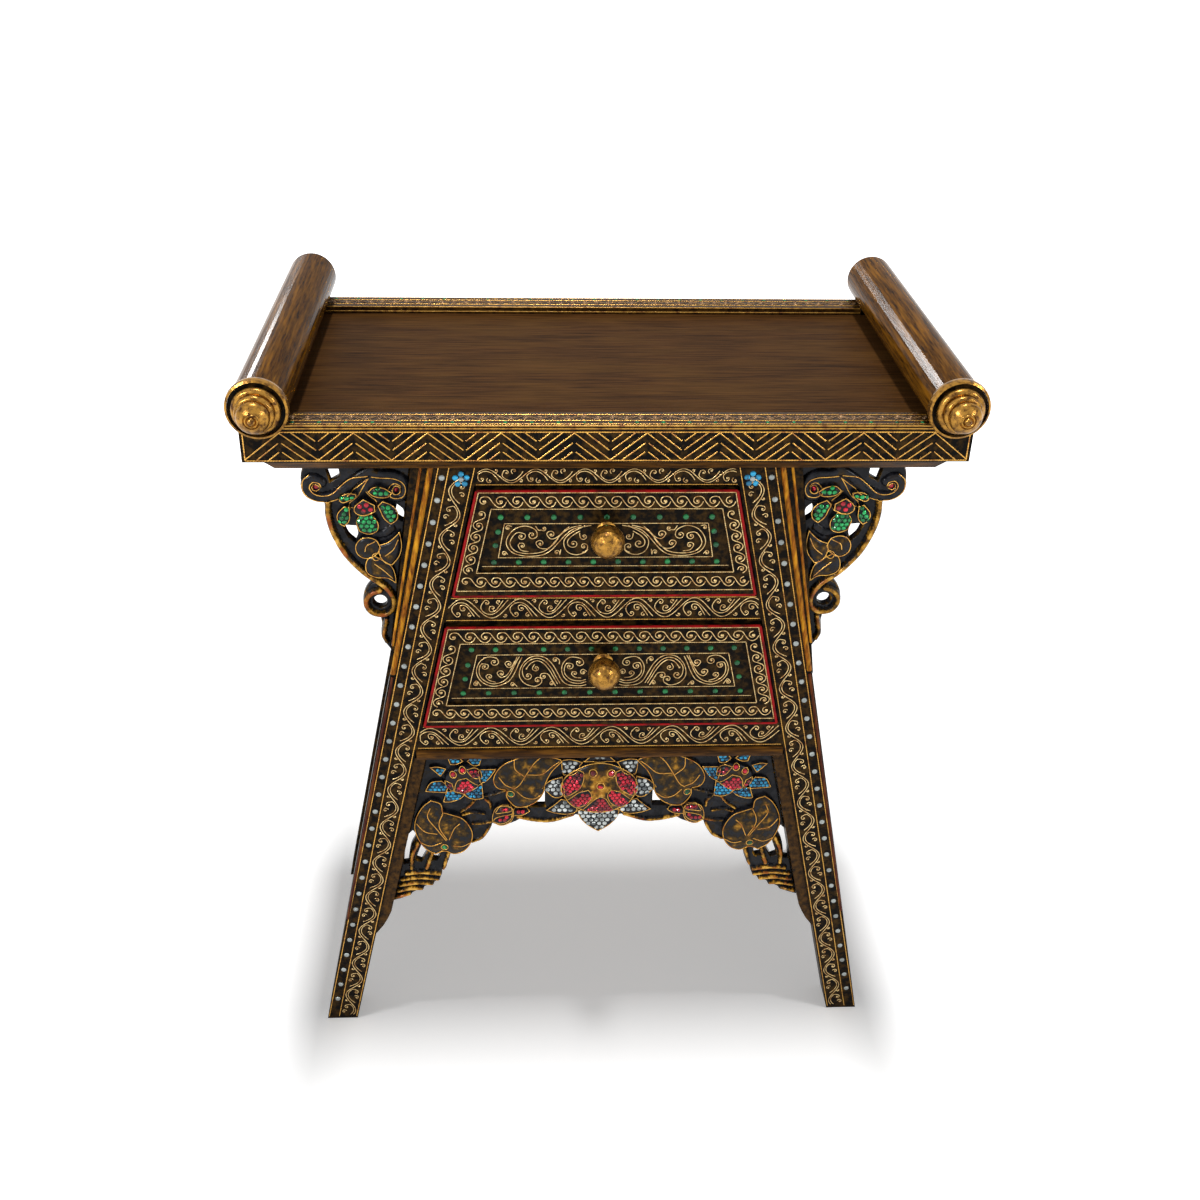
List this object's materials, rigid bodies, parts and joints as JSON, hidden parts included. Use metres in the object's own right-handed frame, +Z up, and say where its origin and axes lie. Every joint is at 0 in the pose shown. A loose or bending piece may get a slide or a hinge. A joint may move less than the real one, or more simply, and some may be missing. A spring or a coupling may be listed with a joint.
{
  "type": "offering table",
  "caption": "Carved lacquered offering table with a scroll-ended tray top, splayed legs, sloping drawers, a lotus skirt and wing brackets.",
  "frame": {"origin": "on the floor, under the middle of the table's box", "axes": "+Z up, the drawers face -Y, +X to the right as seen from the front"},
  "size_m": [0.6436, 0.387, 0.7841],
  "materials": {
    "lacquer": "black-brown lacquer with raised gilt wires",
    "gilt": "rubbed brown-gold lacquer",
    "umber_wood": "satin dark brown stain",
    "red_lacquer": "dark red lacquer",
    "bare_wood": "bare planed wood",
    "gold_leaf": "worn gold leaf",
    "steel": "plain zinc-plated steel",
    "glass_red": "red glass with foil behind it",
    "glass_green": "green glass with foil behind it",
    "glass_blue": "blue glass with foil behind it",
    "glass_clear": "clear glass with foil behind it"
  },
  "bodies": {
    "case": {"apron_front": "lacquer", "apron_back": "lacquer", "apron_left": "lacquer", "apron_right": "lacquer", "cleat_front": "bare_wood", "cleat_back": "bare_wood", "cleat_left": "bare_wood", "cleat_right": "bare_wood", "tray_board": "umber_wood", "band_front": "gilt", "band_back": "gilt", "cornice_board": "umber_wood", "roll_left": "umber_wood", "roll_right": "umber_wood", "roll_collar_left": "gilt", "roll_collar_right": "gilt", "roll_finial_left": "gilt", "roll_finial_right": "gilt", "leg_front_left": "lacquer", "leg_front_right": "lacquer", "leg_back_left": "lacquer", "leg_back_right": "lacquer", "rail_top": "lacquer", "rail_middle": "lacquer", "rail_bottom": "lacquer", "rail_nose": "gilt", "side_panel_left": "red_lacquer", "side_panel_right": "red_lacquer", "back_panel": "red_lacquer", "shelf_upper": "bare_wood", "shelf_lower": "bare_wood", "guide_upper_left": "bare_wood", "guide_upper_right": "bare_wood", "guide_lower_left": "bare_wood", "guide_lower_right": "bare_wood", "skirt_strip_left": "gilt", "skirt_strip_right": "gilt", "skirt_carving": "lacquer", "wing_strip_front_left": "gilt", "wing_strip_front_right": "gilt", "wing_carving_front_left": "lacquer", "wing_carving_front_right": "lacquer"},
    "drawer_upper": {"drawer_upper_front": "lacquer", "drawer_upper_side_left": "bare_wood", "drawer_upper_side_right": "bare_wood", "drawer_upper_back": "bare_wood", "drawer_upper_bottom": "bare_wood", "drawer_upper_knob": "gold_leaf", "drawer_upper_knob_screw": "steel"},
    "drawer_lower": {"drawer_lower_front": "lacquer", "drawer_lower_side_left": "bare_wood", "drawer_lower_side_right": "bare_wood", "drawer_lower_back": "bare_wood", "drawer_lower_bottom": "bare_wood", "drawer_lower_knob": "gold_leaf", "drawer_lower_knob_screw": "steel"}
  },
  "joints": [
    {"name": "drawer_upper_slide", "type": "slide", "parent": "case", "child": "drawer_upper", "axis": [0, -1, 0], "range_m": [0, 0.19]},
    {"name": "drawer_lower_slide", "type": "slide", "parent": "case", "child": "drawer_lower", "axis": [0, -1, 0], "range_m": [0, 0.19]}
  ]
}
